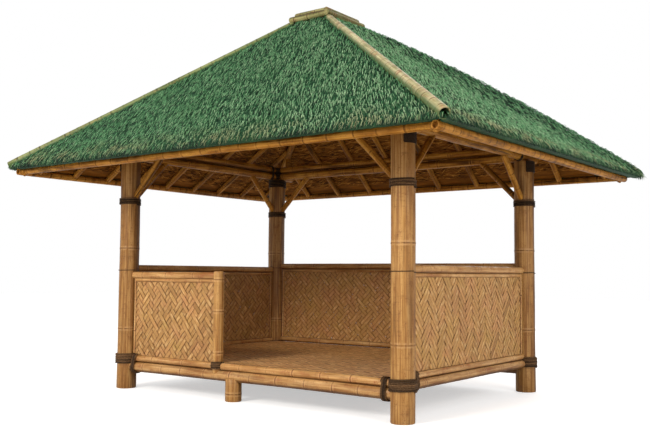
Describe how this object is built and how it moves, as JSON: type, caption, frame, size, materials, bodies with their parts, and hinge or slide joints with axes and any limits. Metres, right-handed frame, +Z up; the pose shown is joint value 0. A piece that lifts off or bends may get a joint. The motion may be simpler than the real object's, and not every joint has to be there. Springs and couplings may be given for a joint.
{
  "type": "thatched bamboo gazebo",
  "caption": "Open bamboo gazebo with a hipped green thatch roof, a raised woven floor, woven bamboo half walls and an open entry.",
  "frame": {"origin": "on the ground, under the middle of the roof", "axes": "+Z up, the open entry faces -Y, and +X is to the right as seen from the front"},
  "size_m": [4.57, 3.71, 3.5022],
  "materials": {
    "post_bamboo": "satin",
    "pole_bamboo": "satin",
    "roof_bamboo": "satin",
    "cap_bamboo": "satin",
    "wall_weave": "matte",
    "floor_weave": "matte",
    "thatch": "matte",
    "rattan_cord": "matte"
  },
  "bodies": {
    "root": {"post_front_left": "post_bamboo", "post_front_right": "post_bamboo", "post_back_left": "post_bamboo", "post_back_right": "post_bamboo", "short_legs": "post_bamboo", "floor_pole_front": "pole_bamboo", "floor_pole_right": "pole_bamboo", "floor_pole_back": "pole_bamboo", "floor_pole_left": "pole_bamboo", "floor_edge_front": "pole_bamboo", "floor_edge_back": "pole_bamboo", "floor_joists": "roof_bamboo", "floor_mat": "floor_weave", "newel": "post_bamboo", "rail_top_front": "pole_bamboo", "rail_top_right": "pole_bamboo", "rail_top_back": "pole_bamboo", "rail_top_left": "pole_bamboo", "rail_bottom_front": "pole_bamboo", "rail_bottom_right": "pole_bamboo", "rail_bottom_back": "pole_bamboo", "rail_bottom_left": "pole_bamboo", "trim_front": "pole_bamboo", "trim_right": "pole_bamboo", "trim_back": "pole_bamboo", "trim_left": "pole_bamboo", "panel_front": "wall_weave", "panel_right": "wall_weave", "panel_back": "wall_weave", "panel_left": "wall_weave", "braces_front_left": "roof_bamboo", "braces_front_right": "roof_bamboo", "braces_back_left": "roof_bamboo", "braces_back_right": "roof_bamboo", "plates_front": "roof_bamboo", "plates_right": "roof_bamboo", "plates_back": "roof_bamboo", "plates_left": "roof_bamboo", "roof_chocks": "roof_bamboo", "hip_rafters": "roof_bamboo", "rafters_front": "roof_bamboo", "rafters_right": "roof_bamboo", "rafters_back": "roof_bamboo", "rafters_left": "roof_bamboo", "crown_frame": "roof_bamboo", "eave_pole_front": "roof_bamboo", "eave_pole_right": "roof_bamboo", "eave_pole_back": "roof_bamboo", "eave_pole_left": "roof_bamboo", "thatch_front": "thatch", "thatch_right": "thatch", "thatch_back": "thatch", "thatch_left": "thatch", "hip_cap_left": "cap_bamboo", "hip_cap_right": "cap_bamboo", "ridge_rings": "cap_bamboo", "ridge_crown": "cap_bamboo", "base_lashings": "rattan_cord", "brace_lashings": "rattan_cord", "head_lashings": "rattan_cord"}
  },
  "joints": []
}
